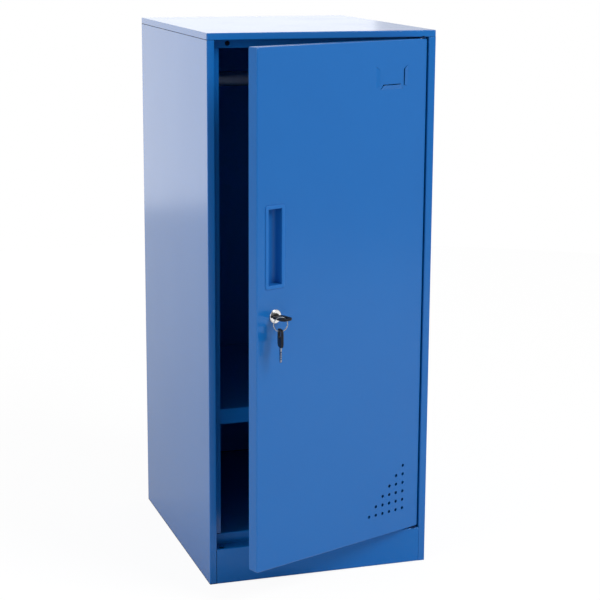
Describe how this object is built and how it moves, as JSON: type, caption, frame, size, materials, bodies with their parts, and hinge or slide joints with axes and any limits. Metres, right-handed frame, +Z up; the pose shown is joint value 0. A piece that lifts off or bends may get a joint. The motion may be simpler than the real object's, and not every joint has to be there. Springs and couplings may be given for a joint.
{
  "type": "steel locker",
  "caption": "Low single-door steel locker with a box-folded door on pivot pins, recessed handle, cam lock with key ring, adjustable shelf and hanging rail.",
  "frame": {"origin": "on the floor, at the middle of the front of the plinth", "axes": "+X to the right as seen from the front, +Y to the back, +Z up"},
  "size_m": [0.38, 0.6032, 0.9],
  "materials": {
    "blue_paint": "satin",
    "zinc_plate": "satin",
    "rail_chrome": "polished",
    "lock_chrome": "polished",
    "lock_core": "satin",
    "key_steel": "polished",
    "key_plastic": "satin",
    "buffer_rubber": "matte",
    "bush_nylon": "satin"
  },
  "bodies": {
    "carcass": {"left_side_panel": "blue_paint", "right_side_panel": "blue_paint", "top_panel": "blue_paint", "floor_panel": "blue_paint", "plinth_panel": "blue_paint", "back_panel": "blue_paint", "shelf_strip_front_left": "blue_paint", "shelf_strip_front_right": "blue_paint", "shelf_strip_rear_left": "blue_paint", "shelf_strip_rear_right": "blue_paint", "shelf_clips": "zinc_plate", "hanging_rail": "rail_chrome", "rail_socket_left": "zinc_plate", "rail_socket_right": "zinc_plate", "door_buffers": "buffer_rubber", "hinge_bush_bottom": "bush_nylon", "hinge_bush_top": "bush_nylon", "cap_bolts": "zinc_plate", "cap_nuts": "zinc_plate", "back_bolts": "zinc_plate", "back_nuts": "zinc_plate"},
    "shelf": {"shelf": "blue_paint"},
    "door": {"door_panel": "blue_paint", "door_stiffener": "blue_paint", "bottom_pivot_bracket": "zinc_plate", "top_pivot_bracket": "zinc_plate", "bottom_pivot_pin": "zinc_plate", "top_pivot_pin": "zinc_plate", "handle_cup": "blue_paint", "lock_barrel": "lock_chrome", "lock_nut": "zinc_plate"},
    "lock_core": {"lock_plug": "lock_core", "lock_cam": "zinc_plate", "cam_washer": "zinc_plate", "cam_screw": "zinc_plate"},
    "key": {"key_blade": "key_steel", "key_bow": "key_plastic"},
    "key_ring": {"key_ring": "key_steel"},
    "spare_key": {"spare_key_blade": "key_steel", "spare_key_bow": "key_plastic"}
  },
  "joints": [
    {"name": "door_hinge", "type": "hinge", "parent": "carcass", "child": "door", "pos_m": [0.168, 0.006, 0.47475], "axis": [0, 0, 1], "range_deg": [-22, 88]},
    {"name": "shelf_lift", "type": "slide", "parent": "carcass", "child": "shelf", "axis": [0, 0, 1], "range_m": [0, 0.02]},
    {"name": "lock_turn", "type": "hinge", "parent": "door", "child": "lock_core", "pos_m": [-0.11532, -0.11494, 0.475], "axis": [0.3746, -0.9272, 0], "range_deg": [0, 90]},
    {"name": "key_slide", "type": "slide", "parent": "lock_core", "child": "key", "axis": [0.3746, -0.9272, 0], "range_m": [0, 0.03]},
    {"name": "ring_turn", "type": "hinge", "parent": "key", "child": "key_ring", "pos_m": [-0.11375, -0.14019, 0.475], "axis": [0.3746, -0.9272, 0], "range_deg": [-90, 0]},
    {"name": "spare_key_swing", "type": "hinge", "parent": "key_ring", "child": "spare_key", "pos_m": [-0.11375, -0.14019, 0.45631], "axis": [1, 0, 0], "range_deg": [-40, 12]}
  ],
  "couplings": [
    {"joint": "ring_turn", "follows": "lock_turn", "ratio": -1}
  ]
}
